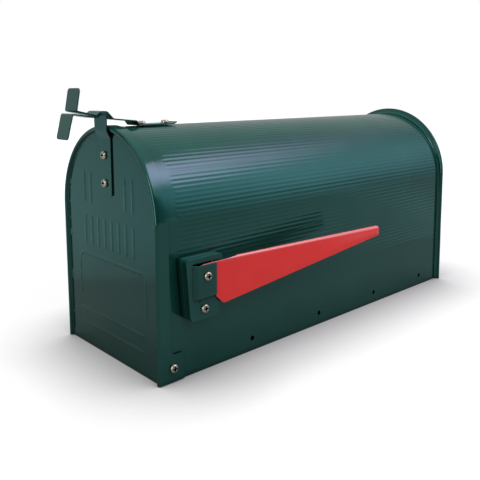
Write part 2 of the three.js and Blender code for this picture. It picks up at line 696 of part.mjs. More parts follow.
const flag = () => {
  const bend = FLAG_BEND;
  const heel = [FLAG_HEEL_Y, -FLAG_HEEL_Z];
  const chin = [FLAG_CHIN_Y, -FLAG_CHIN_Z];
  const tipTop = [FLAG_LENGTH, FLAG_TIP_RISE];
  const tipFoot = [FLAG_LENGTH, FLAG_TIP_RISE - FLAG_TIP_HEIGHT];
  const heelSlope = (chin[1] - heel[1]) / (chin[0] - heel[0]);
  const bendFoot = heel[1] + (bend - heel[0]) * heelSlope;
  const r = FLAG_ROOT;

  const root = new THREE.Shape();
  root.moveTo(...flagPoint(bend, bendFoot));
  root.lineTo(...flagPoint(bend, r));
  root.lineTo(FLAG_PIVOT_Y, FLAG_PIVOT_Z + r);
  root.absarc(FLAG_PIVOT_Y, FLAG_PIVOT_Z, r, Math.PI / 2, FLAG_NECK_ANGLE, false);
  root.lineTo(...flagPoint(...heel));
  const blade = polygon([
    flagPoint(bend, r),
    flagPoint(bend, bendFoot),
    flagPoint(...chin),
    flagPoint(...tipFoot),
    flagPoint(...tipTop),
    flagPoint(FLAG_FLANGE_START, FLAG_FLANGE_RISE),
  ]);
  const topFlange = polygon([
    flagPoint(FLAG_FLANGE_START, FLAG_FLANGE_RISE - FLAG_SHEET),
    flagPoint(FLAG_LENGTH, FLAG_TIP_RISE - FLAG_SHEET),
    flagPoint(...tipTop),
    flagPoint(FLAG_FLANGE_START, FLAG_FLANGE_RISE),
  ]);
  const tipFlange = polygon([
    flagPoint(FLAG_LENGTH - FLAG_SHEET, FLAG_TIP_RISE - FLAG_TIP_HEIGHT),
    flagPoint(...tipFoot),
    flagPoint(...tipTop),
    flagPoint(FLAG_LENGTH - FLAG_SHEET, FLAG_TIP_RISE),
  ]);
  let body = alongX(root, flagBack, flagFace);
  body = body.add(alongX(blade, flagBack, flagFace, leanOut));
  body = body.add(alongX(topFlange, flagFace - FLAG_FLANGE, flagFace, leanOut));
  body = body.add(alongX(tipFlange, flagFace - FLAG_FLANGE, flagFace, leanOut));
  body = body.subtract(drill(SCREW_HOLE, flagBack, FLAG_PIVOT_Y, FLAG_PIVOT_Z, 'x', THROUGH));
  return piece('flag', body, 'red');
};

// -------------------------------------------------------------------- assembly

const mailbox = new THREE.Group();
mailbox.add(shell(), floorPanel(), rearCap(), door(), doorStrap(), catchFoot(), catchArm());
mailbox.add(bracketBase(), bracketPlate(), flag());

// Door hinge: screw from outside, spacer between ear and wall, nut inside.
for (const [name, side] of bothSides) {
  const outward = name;
  const inward = side > 0 ? 'left' : 'right';
  const headSeat = (doorHalf + GAP) * side;
  const nutFace = (shellInner - GAP) * side;
  const length = doorHalf - shellInner + 2 * GAP + NUT_HEIGHT + SCREW_END;
  const spacer = washer(`hinge_spacer_${name}`);
  mailbox.add(seat(panHeadScrew(`hinge_screw_${name}`, length), headSeat, PIVOT_Y, PIVOT_Z, outward));
  mailbox.add(seat(spacer, (shellHalf + GAP) * side, PIVOT_Y, PIVOT_Z, outward));
  mailbox.add(seat(hexNut(`hinge_nut_${name}`), nutFace, PIVOT_Y, PIVOT_Z, inward));
}

// Strap screws: heads on the strap, nuts behind the door panel.
for (const [name, z] of strapScrews) {
  const headSeat = strapCentre - STRAP_SHEET / 2 - GAP;
  const length = panelRear - headSeat + GAP + NUT_HEIGHT + SCREW_END;
  mailbox.add(seat(panHeadScrew(`strap_screw_${name}`, length), 0, headSeat, z, 'front'));
  mailbox.add(seat(hexNut(`strap_nut_${name}`), 0, panelRear + GAP, z, 'back'));
}

// Catch screws: heads on the spring, nuts under the crown.
for (const [name, y] of [
  ['front', SPRING_SCREW_FRONT],
  ['rear', SPRING_SCREW_REAR],
]) {
  const headSeat = crownTop + STRAP_SHEET + 2 * GAP;
  const nutFace = archZ + shellInner - RIB_DEPTH / 2 - GAP;
  const length = headSeat - nutFace + NUT_HEIGHT + SCREW_END;
  mailbox.add(seat(panHeadScrew(`catch_screw_${name}`, length), 0, y, headSeat, 'up'));
  mailbox.add(seat(hexNut(`catch_nut_${name}`), 0, y, nutFace, 'down'));
}

// Flag pivot and lower bracket screw, both through the right wall.
for (const [name, z, face] of [
  ['flag_pivot', FLAG_PIVOT_Z, housingFace],
  ['bracket', LOWER_SCREW_Z, plateFace],
]) {
  const headSeat = face + GAP;
  const nutFace = shellInner - RIB_DEPTH / 2 - GAP;
  const inside = nutFace - WASHER_HEIGHT - GAP;
  const length = headSeat - inside + NUT_HEIGHT + SCREW_END;
  mailbox.add(seat(panHeadScrew(`${name}_screw`, length), headSeat, FLAG_PIVOT_Y, z, 'right'));
  mailbox.add(seat(washer(`${name}_washer`), nutFace, FLAG_PIVOT_Y, z, 'left'));
  mailbox.add(seat(hexNut(`${name}_nut`), inside, FLAG_PIVOT_Y, z, 'left'));
}

// Friction washer between the bracket's boss and the flag.
const frictionWasher = washer('flag_friction_washer');
mailbox.add(seat(frictionWasher, plateFace + GAP, FLAG_PIVOT_Y, FLAG_PIVOT_Z, 'right'));

const boardSeatY = (MOUNT_HOLE_FIRST + mountHoleLast) / 2;
mailbox.position.set(0, -boardSeatY, -BOARD_RECESS);

export default mailbox;
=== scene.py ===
"""A rural tunnel mailbox in stove-enamelled sheet steel, with a drop-down door, a spring
catch and a signal flag."""

import math

import bmesh
import bpy
from mathutils import Matrix, Vector


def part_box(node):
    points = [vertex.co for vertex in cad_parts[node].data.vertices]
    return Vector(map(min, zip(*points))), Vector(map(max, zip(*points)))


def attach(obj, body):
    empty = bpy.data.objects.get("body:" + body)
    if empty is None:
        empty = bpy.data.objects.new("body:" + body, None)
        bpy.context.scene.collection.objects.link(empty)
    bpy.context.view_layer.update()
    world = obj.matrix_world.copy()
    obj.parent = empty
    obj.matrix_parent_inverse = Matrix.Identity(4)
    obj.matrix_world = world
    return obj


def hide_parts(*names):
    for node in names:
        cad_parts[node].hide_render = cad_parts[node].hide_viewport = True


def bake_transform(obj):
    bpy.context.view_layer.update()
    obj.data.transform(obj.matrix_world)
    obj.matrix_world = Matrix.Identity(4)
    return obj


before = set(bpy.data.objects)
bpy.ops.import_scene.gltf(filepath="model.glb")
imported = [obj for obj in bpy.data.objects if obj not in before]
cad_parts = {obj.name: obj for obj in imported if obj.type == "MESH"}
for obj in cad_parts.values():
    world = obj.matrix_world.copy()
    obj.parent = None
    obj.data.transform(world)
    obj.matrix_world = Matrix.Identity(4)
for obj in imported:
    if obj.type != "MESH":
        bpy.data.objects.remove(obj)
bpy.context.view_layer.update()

scene = bpy.context.scene


# ------------------------------------------------------------------ the bench
# Pieces are laid out in millimetres from the front of the door's bead and from
# the foot of the walls, and are carried into the row frame when they are done.

MM = 0.001
BENCH = Matrix.Translation((0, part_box("door")[0].y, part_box("shell")[0].z)) @ Matrix.Scale(MM, 4)


def bench_box(node):
    return [BENCH.inverted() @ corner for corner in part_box(node)]


door_low, door_high = bench_box("door")
cap_low, cap_high = bench_box("rear_cap")
base_low, base_high = bench_box("flag_bracket_base")
plate_low, plate_high = bench_box("flag_bracket_plate")
strap_low, strap_high = bench_box("door_strap")
pivot_screw = sum(bench_box("flag_pivot_screw"), Vector()) / 2
lower_screw = sum(bench_box("bracket_screw"), Vector()) / 2

NEAR = 0.01  # points closer than this are taken as one place
SHEET = 0.8  # thickness of the shell, the door and the cap
STRIP = 1.2  # thickness of the strap and the catch
WASHER = 0.5  # thickness of a washer
GAP = 0.3  # between pieces that are seated on each other
STRIP_WIDTH = strap_high.x - strap_low.x
DOOR_HALF = door_high.x
ARCH = door_high.z - DOOR_HALF  # height of the arch's centre
WALL = DOOR_HALF - 1.9  # outer face of the smooth wall, from the middle


def hex_colour(code):
    """An sRGB hex colour as linear red, green, blue and alpha."""
    parts = [int(code[i : i + 2], 16) / 255 for i in (1, 3, 5)]
    return [p / 12.92 if p <= 0.04045 else ((p + 0.055) / 1.055) ** 2.4 for p in parts] + [1]


def ease(t):
    t = min(max(t, 0), 1)
    return t * t * (3 - 2 * t)


def points_of(made):
    return [g for g in made if isinstance(g, bmesh.types.BMVert)]


def edges_of(made):
    return [g for g in made if isinstance(g, bmesh.types.BMEdge)]


def points_at(bm, spot):
    """The points that lie at one place (y, z) of an outline."""
    return [v for v in bm.verts if math.dist((v.co.y, v.co.z), spot) < NEAR]


def round_off(bm, geom, reach, segments, affect="EDGES"):
    """Rounds edges or corners, from a reach away on both sides."""
    bmesh.ops.bevel(
        bm, geom=geom, offset=reach, offset_type="OFFSET", segments=segments, profile=0.5, affect=affect,
        material=-1,
    )


SHARP = math.radians(38)  # a turned fastener keeps its edges past this angle
ROUNDED = math.radians(35)  # a pressed piece is rounded past this one


def finish_piece(name, bm, paint, body, nodes, outward=None, wall=0, centred=False, round_over=0.2):
    """Carries a bench mesh into the row frame and puts it on its body.

    An open sheet gets its thickness from wall. outward is a point of its outer
    side and the way that this side looks there. A piece that bends with two
    bodies has no body of its own."""
    bmesh.ops.remove_doubles(bm, verts=bm.verts, dist=NEAR / 2)
    bmesh.ops.recalc_face_normals(bm, faces=bm.faces)
    if outward is not None:
        point, way = outward
        nearest = min(bm.faces, key=lambda f: (f.calc_center_median() - Vector(point)).length)
        if nearest.normal.dot(Vector(way)) < 0:
            bmesh.ops.reverse_faces(bm, faces=bm.faces)
    bmesh.ops.transform(bm, matrix=BENCH, verts=bm.verts)
    mesh = bpy.data.meshes.new(name)
    bm.to_mesh(mesh)
    bm.free()
    mesh.materials.append(paint)
    mesh.shade_smooth()
    if not round_over:
        mesh.set_sharp_from_angle(angle=SHARP)
    piece = bpy.data.objects.new(name, mesh)
    scene.collection.objects.link(piece)
    if wall:
        skin = piece.modifiers.new("thickness", "SOLIDIFY")
        skin.thickness = wall * MM
        skin.offset = 0 if centred else -1
        skin.use_even_offset = True
    if round_over:
        edge = piece.modifiers.new("edges", "BEVEL")
        edge.width = round_over * MM
        edge.segments = 2
        edge.limit_method = "ANGLE"
        edge.angle_limit = ROUNDED
        edge.harden_normals = True
    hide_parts(*nodes)
    if body:
        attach(piece, body)
    return piece


# ------------------------------------------------------------------ finishes


def add(tree, kind, values=(), links=(), **settings):
    """Adds a node. values fill its inputs, by name or number, and links bring other
    nodes' outputs to them."""
    made = tree.nodes.new(kind)
    for key, value in settings.items():
        setattr(made, key, value)
    for socket, value in dict(values).items():
        made.inputs[socket].default_value = value
    for socket, source in dict(links).items():
        tree.links.new(source, made.inputs[socket])
    return made


def new_finish(name):
    finish = bpy.data.materials.new(name)
    finish.use_nodes = True
    finish.node_tree.nodes.clear()
    return finish, finish.node_tree


def stove_enamel(name, deep, thin, painted_shade_colour, gloss, shine_tint):
    """Sheet steel under stoved gloss enamel. The paint flows out to a hard shine
    with a faint orange peel, the sheet under it waves slightly, so that straight
    reflections wander, and the coat's depth of colour drifts over each panel."""
    finish, tree = new_finish(name)
    place = add(tree, "ShaderNodeTexCoord").outputs["Object"]
    # the coat is thinner in soft patches about 45 mm across
    drift = add(
        tree, "ShaderNodeTexNoise", {"Scale": 1 / (45 * MM), "Detail": 3, "Roughness": 0.55},
        {"Vector": place},
    )
    patches = add(
        tree, "ShaderNodeMapRange", {"From Min": 0.3, "From Max": 0.7}, {"Value": drift.outputs["Fac"]}
    )
    coat = add(
        tree, "ShaderNodeMix", {"A": hex_colour(deep), "B": hex_colour(thin)},
        {"Factor": patches.outputs["Result"]}, data_type="RGBA",
    )
    # painted shade: an ambient occlusion reading darkens the coat towards a near-black colour in seams,
    # creases and under edges
    occlusion = add(tree, "ShaderNodeAmbientOcclusion", {"Distance": 6 * MM}, samples=8)
    unshaded_share = add(tree, "ShaderNodeMath", {1: 2.2}, {0: occlusion.outputs["AO"]}, operation="POWER")
    coat = add(
        tree, "ShaderNodeMix", {"A": hex_colour(painted_shade_colour)},
        {"Factor": unshaded_share.outputs[0], "B": coat.outputs["Result"]}, data_type="RGBA",
    )
    # handling leaves the shine slightly uneven in patches of about a thumb's width
    hands = add(
        tree, "ShaderNodeTexNoise", {"Scale": 1 / (18 * MM), "Detail": 4, "Roughness": 0.6}, {"Vector": place}
    )
    shine = add(
        tree, "ShaderNodeMapRange",
        {"From Min": 0.3, "From Max": 0.7, "To Min": gloss - 0.025, "To Max": gloss + 0.03},
        {"Value": hands.outputs["Fac"]},
    )
    # sheet waves about 70 mm long, then orange peel, too fine to show and drawn 5 mm across
    waves = add(tree, "ShaderNodeTexNoise", {"Scale": 1 / (70 * MM), "Detail": 1}, {"Vector": place})
    waved = add(
        tree, "ShaderNodeBump", {"Strength": 1, "Distance": 0.25 * MM}, {"Height": waves.outputs["Fac"]}
    )
    peel = add(
        tree, "ShaderNodeTexNoise", {"Scale": 1 / (5 * MM), "Detail": 2, "Roughness": 0.45}, {"Vector": place}
    )
    peeled = add(
        tree, "ShaderNodeBump", {"Strength": 1, "Distance": 0.006 * MM},
        {"Height": peel.outputs["Fac"], "Normal": waved.outputs["Normal"]},
    )
    paint = add(
        tree, "ShaderNodeBsdfPrincipled",
        {"IOR": 1.5, "Specular IOR Level": 1, "Specular Tint": hex_colour(shine_tint)},
        {
            "Base Color": coat.outputs["Result"],
            "Roughness": shine.outputs["Result"],
            "Normal": peeled.outputs["Normal"],
        },
    )
    add(tree, "ShaderNodeOutputMaterial", links={"Surface": paint.outputs["BSDF"]})
    return finish


def paint_fold_highlight(finish, highlight_colour, start, end):
    """Painted highlight: the base colour turns pale along a folded edge, standing in for the shine that the
    rolled edge catches.
    The fold runs from start to end, two points (y, z) in bench millimetres."""
    tree = finish.node_tree
    paint = next(node for node in tree.nodes if node.bl_idname == "ShaderNodeBsdfPrincipled")
    coat = paint.inputs["Base Color"].links[0].from_socket
    start, end = (BENCH @ Vector((0, *spot)) for spot in (start, end))
    slope = (end.z - start.z) / (end.y - start.y)
    place = add(tree, "ShaderNodeTexCoord").outputs["Object"]
    split = add(tree, "ShaderNodeSeparateXYZ", links={0: place})
    line = add(
        tree, "ShaderNodeMath", {1: slope, 2: start.z - slope * start.y}, {0: split.outputs["Y"]},
        operation="MULTIPLY_ADD",
    )
    below = add(
        tree, "ShaderNodeMath", links={0: line.outputs[0], 1: split.outputs["Z"]}, operation="SUBTRACT"
    )
    # the painted highlight is full for the fold's first 0.9 mm, and gone 2.6 mm below it
    highlight_band = add(
        tree, "ShaderNodeMapRange", {"From Min": 2.6 * MM, "From Max": 0.9 * MM}, {"Value": below.outputs[0]}
    )
    mixed = add(
        tree, "ShaderNodeMix", {"B": hex_colour(highlight_colour)}, {"Factor": highlight_band.outputs[0], "A": coat},
        data_type="RGBA",
    )
    tree.links.new(mixed.outputs["Result"], paint.inputs["Base Color"])


def zinc_plate(name, dark, light):
    """Bright zinc over cold-formed steel. A pale, slightly warm metal with a fine
    grain from the plating bath, which breaks its shine up."""
    finish, tree = new_finish(name)
    place = add(tree, "ShaderNodeTexCoord").outputs["Object"]
    # the real grain is too fine to show, so it is drawn 0.9 mm across
    grain = add(
        tree, "ShaderNodeTexNoise", {"Scale": 1 / (0.9 * MM), "Detail": 4, "Roughness": 0.6},
        {"Vector": place},
    )
    tone = add(
        tree, "ShaderNodeMix", {"A": hex_colour(dark), "B": hex_colour(light)},
        {"Factor": grain.outputs["Fac"]}, data_type="RGBA",
    )
    dull = add(tree, "ShaderNodeMapRange", {"To Min": 0.2, "To Max": 0.38}, {"Value": grain.outputs["Fac"]})
    rise = add(
        tree, "ShaderNodeBump", {"Strength": 1, "Distance": 0.02 * MM}, {"Height": grain.outputs["Fac"]}
    )
    metal = add(
        tree, "ShaderNodeBsdfPrincipled", {"Metallic": 1},
        {
            "Base Color": tone.outputs["Result"],
            "Roughness": dull.outputs["Result"],
            "Normal": rise.outputs["Normal"],
        },
    )
    add(tree, "ShaderNodeOutputMaterial", links={"Surface": metal.outputs["BSDF"]})
    return finish


# the fourth colour of each enamel is the painted shade in its seams and under its edges
green_enamel = stove_enamel("green_enamel", "#0b322b", "#0e3931", "#030f0c", 0.125, "#acfff7")
red_enamel = stove_enamel("red_enamel", "#d91f1d", "#e12521", "#8c100e", 0.15, "#ffffff")
zinc = zinc_plate("bright_zinc", "#cbcbb0", "#e6e6d0")
# painted shade: the recess of a head gets a near-black metal for the shade that falls in it
painted_recess_shade = zinc_plate("painted_recess_shade", "#14120e", "#2a2820")


# ------------------------------------------------------------- arched sheets


def arched_panel(half, foot, centre, y, pitch):
    """A flat upright panel with straight sides and a half-round top."""
    columns = round(2 * half / pitch)
    sides = round((centre - foot) / pitch)
    top = round(half * math.pi / 2 / pitch)
    bm = bmesh.new()
    bmesh.ops.create_grid(bm, x_segments=columns, y_segments=sides + top, size=0.5)
    for point in bm.verts:
        climb = (point.co.y + 0.5) * (sides + top)
        angle = max(climb - sides, 0) / top * math.pi / 2
        z = foot + (centre - foot) * min(climb / sides, 1) + half * math.sin(angle)
        point.co = (2 * point.co.x * half * math.cos(angle), y, z)
    bmesh.ops.remove_doubles(bm, verts=bm.verts, dist=NEAR)
    return bm


def merge_flats(bm):
    """Joins the faces that lie flat beside each other."""
    points = [v for v in bm.verts if not v.is_boundary]
    edges = [e for e in bm.edges if not e.is_boundary]
    bmesh.ops.dissolve_limit(bm, angle_limit=0.0005, verts=points, edges=edges)


def rim_of(bm, foot):
    """The open edges of an arched panel, without its foot."""
    return [e for e in bm.edges if e.is_boundary and not all(abs(v.co.z - foot) < NEAR for v in e.verts)]


def run_rim(bm, edges, place):
    """Draws the sheet on from its open edges: each new point goes where place puts it."""
    made = bmesh.ops.extrude_edge_only(bm, edges=edges)["geom"]
    for point in points_of(made):
        point.co = place(point.co)
    return edges_of(made)


def on_arch(point, centre, half):
    """The place on an arch's outline that a point of the sheet lies across from."""
    up = max(point.z - centre, 0)
    base = Vector((0, 0, centre if up else point.z))
    return base + Vector((point.x, 0, up)).normalized() * half


# ---------------------------------------------------------------------- door
# Pressed from one sheet: a flat panel inside a rolled bead, and a skirt that
# slips over the shell and ends in the hinge ears.

PANEL_Y = 3  # the panel lies this far behind the bead's front
SKIRT_Y = 12.5  # rear edge of the skirt, above the ears
EAR_Z = 25  # top of the ears
EAR_FILLET = 6
EAR_CORNER = 3
HEM = 7
PRESS_PITCH = 0.75  # spacing of the points that the press marks are drawn with
# the bead's section: how far out of the panel's edge, and how far back from the front
BEAD = [
    (0.35, 2.88), (0.6, 2.55), (0.85, 1.9), (1.15, 1.15), (1.5, 0.55), (2, 0.15), (2.6, 0), (3.4, 0.04),
    (4.2, 0.32), (4.9, 0.85), (5.35, 1.5), (5.55, 2.3), (5.6, 3.3),
]
# two rows of flutes: places from the middle, foot and top
FLUTES = (((30, 42), 146, 173), ((6, 18, 30, 42), 106, 131))
FLUTE_LINE = (4.6, 0.55)  # width and rise
BARS_Z = (37, 22)
BAR_HALF = 54
BAR_LINE = (4.2, 0.45)
# a fine frame line round the lower field, with round upper corners and an open foot
FRAME_X = 2
FRAME_HALF = 57
FRAME_TOP = 93.5
FRAME_FOOT = 51
FRAME_CORNER = 7.5
FRAME_LINE = (2.4, 0.4)


def away(x, z, a, b):
    """Distance from a point of the panel to the line from a to b."""
    along = Vector((b[0] - a[0], b[1] - a[1]))
    to = Vector((x - a[0], z - a[1]))
    share = min(max(to.dot(along) / along.length_squared, 0), 1)
    return (to - along * share).length


def ridge(distance, width, height):
    """Height of a soft ridge at a distance from its middle line."""
    return height * (1 + math.cos(math.pi * min(distance / (width / 2), 1))) / 2


def pressed(x, z):
    """Height that the press tools raise the door panel by at a point."""
    rises = [0]
    for places, foot, top in FLUTES:
        if foot - FLUTE_LINE[0] < z < top + FLUTE_LINE[0]:
            rises += [ridge(away(abs(x), z, (place, foot), (place, top)), *FLUTE_LINE) for place in places]
    for bar in BARS_Z:
        if abs(z - bar) < BAR_LINE[0]:
            rises.append(ridge(away(x, z, (-BAR_HALF, bar), (BAR_HALF, bar)), *BAR_LINE))
    if z < FRAME_TOP + FRAME_LINE[0]:
        side = abs(x - FRAME_X)
        if z > FRAME_FOOT:
            past = (max(side - FRAME_HALF + FRAME_CORNER, 0), max(z - FRAME_TOP + FRAME_CORNER, 0))
            rises.append(ridge(abs(math.hypot(*past) - FRAME_CORNER), *FRAME_LINE))
        else:
            rises.append(ridge(math.dist((side, z), (FRAME_HALF, FRAME_FOOT)), *FRAME_LINE))
    return max(rises)


def ear_outline():
    """The skirt's rear edge, from where it leaves the arch's down into the ears and to their foot."""
    ear = door_high.y
    turn = [(SKIRT_Y, EAR_Z + EAR_FILLET + 5)]
    for i in range(9):
        a = i * math.pi / 16
        turn.append((SKIRT_Y + EAR_FILLET * (1 - math.cos(a)), EAR_Z + EAR_FILLET * (1 - math.sin(a))))
    for i in range(7):
        a = i * math.pi / 12
        turn.append((ear - EAR_CORNER * (1 - math.sin(a)), EAR_Z - EAR_CORNER * (1 - math.cos(a))))
    return turn + [(ear, door_low.z)]


def make_door():
    foot = door_low.z
    half = DOOR_HALF - BEAD[-1][0]
    bm = arched_panel(half, foot, ARCH, PANEL_Y, PRESS_PITCH)
    for point in bm.verts:
        point.co.y -= pressed(point.co.x, point.co.z)
    merge_flats(bm)
    rim = rim_of(bm, foot)
    for out, y in BEAD:

        def place(point, out=out, y=y):
            return on_arch(point, ARCH, half + out) + Vector((0, y, 0))

        rim = run_rim(bm, rim, place)

    turn = ear_outline()
    lengths = [math.dist(a, b) for a, b in zip(turn, turn[1:])]

    def skirt(point):
        at = on_arch(point, ARCH, DOOR_HALF)
        if point.z > turn[0][1]:
            return at + Vector((0, SKIRT_Y, 0))
        left = (turn[0][1] - point.z) / (turn[0][1] - foot) * sum(lengths)
        for (a, b), length in zip(zip(turn, turn[1:]), lengths):
            if left <= length + 1e-6:
                y, z = Vector(a).lerp(Vector(b), min(left / length, 1))
                return Vector((at.x, y, z))
            left -= length

    run_rim(bm, rim, skirt)

    # a hem is folded up behind the panel's foot
    def on_foot(point):
        return point.z < foot + NEAR and point.y < PANEL_Y + NEAR and abs(point.x) < half + NEAR

    hem = [e for e in bm.edges if e.is_boundary and all(on_foot(v.co) for v in e.verts)]
    hem = run_rim(bm, hem, lambda p: Vector((p.x, PANEL_Y + 2 * SHEET, p.z)))
    run_rim(bm, hem, lambda p: Vector((p.x, p.y, p.z + HEM)))
    return finish_piece(
        "door_skin", bm, green_enamel, "door", ["door"],
        outward=((0, PANEL_Y, 100), (0, -1, 0)), wall=SHEET,
    )


# ------------------------------------------------------------------ rear cap
# A flat back, turned forwards over the shell's end in a rounded rim, whose
# front sweeps down to the ribs.

CAP_TURN = 3.2  # depth of the rim's rounded turn
FLARE = math.radians(50)  # angle over which the rim's front sweeps
# the turn's section: how far out of the outer face, and how far forwards of the back
CAP_EDGE = [
    (-1.2, 0), (-0.6, 0.15), (-0.2, 0.55), (0, 1.2), (0, 2.2), (-0.15, 2.7), (-0.5, 3.05), (-1, CAP_TURN),
]
CAP_PITCH = 3.2  # spacing of the points along the outline
OVER_RIBS = 0.62  # the rim's front edge ends this far outside the smooth wall


def run_sweep(bm, edges, sweep, began):
    """As run_rim, but each new point is placed from where its row began, which began looks up."""
    made = bmesh.ops.extrude_edge_only(bm, edges=edges)["geom"]
    for point in points_of(made):
        begin = began.get(point.co.to_tuple(4), point.co.copy())
        point.co = sweep(begin)
        began[point.co.to_tuple(4)] = begin
    return edges_of(made)


def make_cap():
    half = cap_high.x
    centre = cap_high.z - half
    back = cap_high.y
    bm = arched_panel(half - 2, cap_low.z, centre, back, CAP_PITCH)
    merge_flats(bm)
    rim = rim_of(bm, cap_low.z)
    for out, forward in CAP_EDGE:

        def place(point, out=out, forward=forward):
            return on_arch(point, centre, half + out) + Vector((0, back - forward, 0))

        rim = run_rim(bm, rim, place)
    reach = back - cap_low.y - CAP_TURN
    began = {}
    for i in range(1, 9):
        angle = i / 8 * FLARE

        def sweep(point, angle=angle):
            start = on_arch(point, centre, half + CAP_EDGE[-1][0])
            end = on_arch(start, ARCH, WALL + OVER_RIBS)
            at = start.lerp(end, math.sin(angle) / math.sin(FLARE))
            forward = CAP_TURN + reach * (1 - math.cos(angle)) / (1 - math.cos(FLARE))
            return Vector((at.x, back - forward, at.z))

        rim = run_sweep(bm, rim, sweep, began)
    return finish_piece(
        "cap_skin", bm, green_enamel, "box", ["rear_cap"],
        outward=((0, back, 100), (0, 1, 0)), wall=SHEET,
    )


# --------------------------------------------------------------------- shell
# One sheet rolled into a tunnel, with fine ribs along it over the arch and the
# upper walls. The ribs run out a little behind the door.

RIB_DEPTH = 0.15
RIB_PITCH = 4.1
RIBS_FOOT = 58  # the walls are plain below this
RIB_FRONT = 21  # the ribs begin here, and reach their full depth over RIB_RISE
RIB_RISE = 6.5
RIB_FADE = 6  # the lowest ribs run out over this
RIB_STEPS = 9  # points across one rib
# rows of points along the shell, close together where the ribs rise
ROWS = [5.2, 12, 21, 22, 22.8, 23.5, 24.2, 25, 26, 27.5, 120, 240, 350, bench_box("shell")[1].y]
HOLES_Y = [111, 210.5, 310, 409.5]
HOLE_Z = 12.4
HOLE = 5
CUT_Y = 15.1  # the slope that cuts the front lower corners off meets the walls' foot here
CUT_SLOPE = 0.32


def make_shell():
    girth = WALL * math.pi / 2 + ARCH - RIBS_FOOT
    bm = bmesh.new()
    columns = round(2 * girth / RIB_PITCH * RIB_STEPS)
    bmesh.ops.create_grid(bm, x_segments=columns, y_segments=len(ROWS) - 1, size=0.5)
    for point in bm.verts:
        y = ROWS[round((point.co.y + 0.5) * (len(ROWS) - 1))]
        along = point.co.x * 2 * girth
        side = math.copysign(1, along)
        fade = ease((y - RIB_FRONT) / RIB_RISE) * ease((girth - abs(along)) / RIB_FADE)
        reach = WALL + RIB_DEPTH / 2 * math.cos(2 * math.pi * along / RIB_PITCH) * fade
        past = abs(along) - WALL * math.pi / 2
        if past > 0:
            point.co = (side * reach, y, ARCH - past)
        else:
            point.co = (reach * math.sin(along / WALL), y, ARCH + reach * math.cos(along / WALL))
    # the plain foot of the walls, with a band of flat faces that the holes go through
    below = RIBS_FOOT
    for z in (34, 2 * HOLE_Z, 0):
        feet = [e for e in bm.edges if e.is_boundary and all(v.co.z < below + NEAR for v in e.verts)]
        run_rim(bm, feet, lambda p, z=z: Vector((p.x, p.y, z)))
        below = z
    for side in (-1, 1):
        for y in HOLES_Y:
            pierce(bm, Vector((side * WALL, y, HOLE_Z)))
    # the front lower corners are cut off at a slope, clear of the door's swing
    bmesh.ops.bisect_plane(
        bm, geom=bm.verts[:] + bm.edges[:] + bm.faces[:], dist=1e-4,
        plane_co=(0, CUT_Y, 0), plane_no=(0, -CUT_SLOPE, -1), clear_outer=True,
    )
    return finish_piece(
        "shell_skin", bm, green_enamel, "box", ["shell"],
        outward=((WALL, 200, 30), (1, 0, 0)), wall=SHEET, round_over=0.15,
    )


def face_round(bm, centre):
    """The upright face, square to x, that a point lies in."""
    for face in bm.faces:
        spots = [v.co - centre for v in face.verts]
        flat = all(abs(p.x) < NEAR for p in spots)
        if flat and all(min(p[i] for p in spots) < 0 < max(p[i] for p in spots) for i in (1, 2)):
            return face


def pierce(bm, centre):
    """Lets a round hole into a flat upright sheet: a square is marked off round it,
    taken out, and filled in again up to a circle."""
    for axis in (1, 2):
        across = Vector((0, 0, 0))
        across[axis] = 1
        for step in (-HOLE, HOLE):
            face = face_round(bm, centre)
            bmesh.ops.bisect_plane(
                bm, geom=[face, *face.edges, *face.verts], dist=1e-4,
                plane_co=centre + across * step, plane_no=across,
            )
    face = face_round(bm, centre)
    square = list(face.edges)
    bmesh.ops.delete(bm, geom=[face], context="FACES_ONLY")
    turn = Matrix.Translation(centre) @ Matrix.Rotation(math.pi / 2, 4, "Y")
    ring = bmesh.ops.create_circle(bm, segments=24, radius=HOLE / 2, matrix=turn)["verts"]
    circle = list({e for v in ring for e in v.link_edges})
    bmesh.ops.bridge_loops(bm, edges=square + circle)


# ----------------------------------------------------------- strap and catch


def bent_strip(path, bends, start, end):
    """A strip across x that follows path, in y and z. bends are the reaches of its
    rounded bends, and start and end those of its rounded corners."""
    bm = bmesh.new()
    line = bm.edges.new([bm.verts.new((side * STRIP_WIDTH / 2, *path[0])) for side in (-1, 1)])
    for y, z in path[1:]:
        made = bmesh.ops.extrude_edge_only(bm, edges=[line])["geom"]
        for point in points_of(made):
            point.co.y, point.co.z = y, z
        # the new edge that lies across the strip
        line = next(e for e in edges_of(made) if abs(e.verts[0].co.x - e.verts[1].co.x) > 1)
    for spot, reach in zip(path[1:-1], bends):
        ends = points_at(bm, spot)
        round_off(bm, [e for e in bm.edges if all(v in ends for v in e.verts)], reach, 5)
    for spot, reach in ((path[0], start), (path[-1], end)):
        round_off(bm, points_at(bm, spot), reach, 6, "VERTICES")
    return bm


def make_strap():
    """Up the door's face and over its bead, a nib that the catch holds, and a pull tab."""
    path = [
        (2.1, 156), (2.1, 209), (-1.4, 215), (-1.4, 230.6), (-5.8, 230.6),
        (-9.98, 227.4), (-33.4, 231.1), (-39.0, 209.1),
    ]
    bm = bent_strip(path, [1.6, 1.6, 1, 1.2, 1.4, 1.5], start=2.5, end=3)
    return finish_piece(
        "strap_strip", bm, green_enamel, "door", ["door_strap"], wall=STRIP, centred=True,
        round_over=0.25,
    )


def make_catch():
    """One leaf spring: a foot with a raised rear lip on the crown, a step, a sloping arm
    that flexes, a pocket for the strap's nib and an up-turned tab."""
    path = [
        (77, 220.9), (72, 219.3), (32.9, 219.3), (30.4, 223.2), (5.9, 225.8), (-0.45, 232.5),
        (-6.75, 232.5), (-10.61, 229.3), (-29.7, 233.6), (-26.0, 253.2),
    ]
    bm = bent_strip(path, [1.2, 1, 1, 1.2, 1.4, 1, 1.4, 1.2], start=2, end=3)
    return finish_piece(
        "catch_strip", bm, green_enamel, None, ["catch_foot", "catch_arm"], wall=STRIP,
        centred=True, round_over=0.25,
    )


# -------------------------------------------------------------- flag bracket

